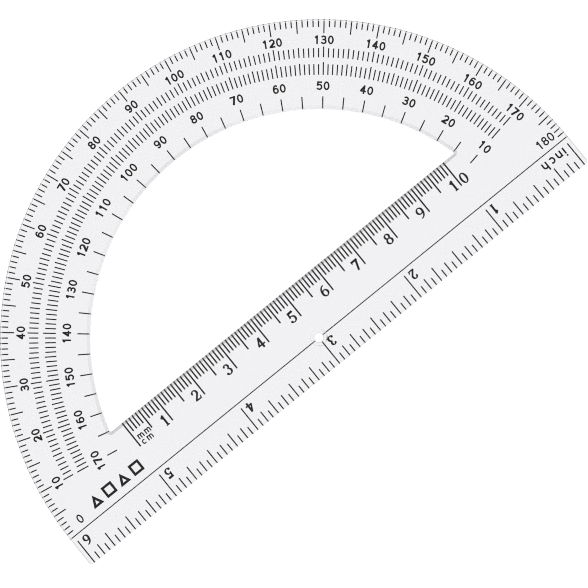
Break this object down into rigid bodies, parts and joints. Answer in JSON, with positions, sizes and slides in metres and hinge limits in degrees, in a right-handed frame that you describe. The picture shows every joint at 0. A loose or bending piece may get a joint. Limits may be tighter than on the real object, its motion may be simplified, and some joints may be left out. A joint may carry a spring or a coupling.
{
  "type": "protractor",
  "caption": "Clear semicircular protractor with a D-shaped window, two printed degree scales, a centimetre rule and an inch rule.",
  "frame": {"origin": "axis of the centre hole, on the underside that lies on the paper", "axes": "+X along the base line towards the 180 degree end, +Y towards the top of the arc, +Z out of the face that the scales are read from"},
  "size_m": [0.1544, 0.0852, 0.0015],
  "materials": {
    "clear_plastic": "clear moulded polystyrene, glossy faces, satin bevels, fine handling scratches",
    "black_ink": "black stamped print, slightly uneven, flush with the underside"
  },
  "bodies": {
    "root": {"plate": "clear_plastic", "rim_degree_ticks": "black_ink", "outer_degree_numerals": "black_ink", "outer_ring_ticks": "black_ink", "inner_ring_ticks": "black_ink", "inner_degree_numerals": "black_ink", "window_degree_ticks": "black_ink", "base_line": "black_ink", "millimetre_ticks": "black_ink", "centimetre_numerals": "black_ink", "metric_unit_labels": "black_ink", "inch_ticks": "black_ink", "inch_numerals": "black_ink", "inch_label": "black_ink", "plain_mark": "black_ink"}
  },
  "joints": []
}
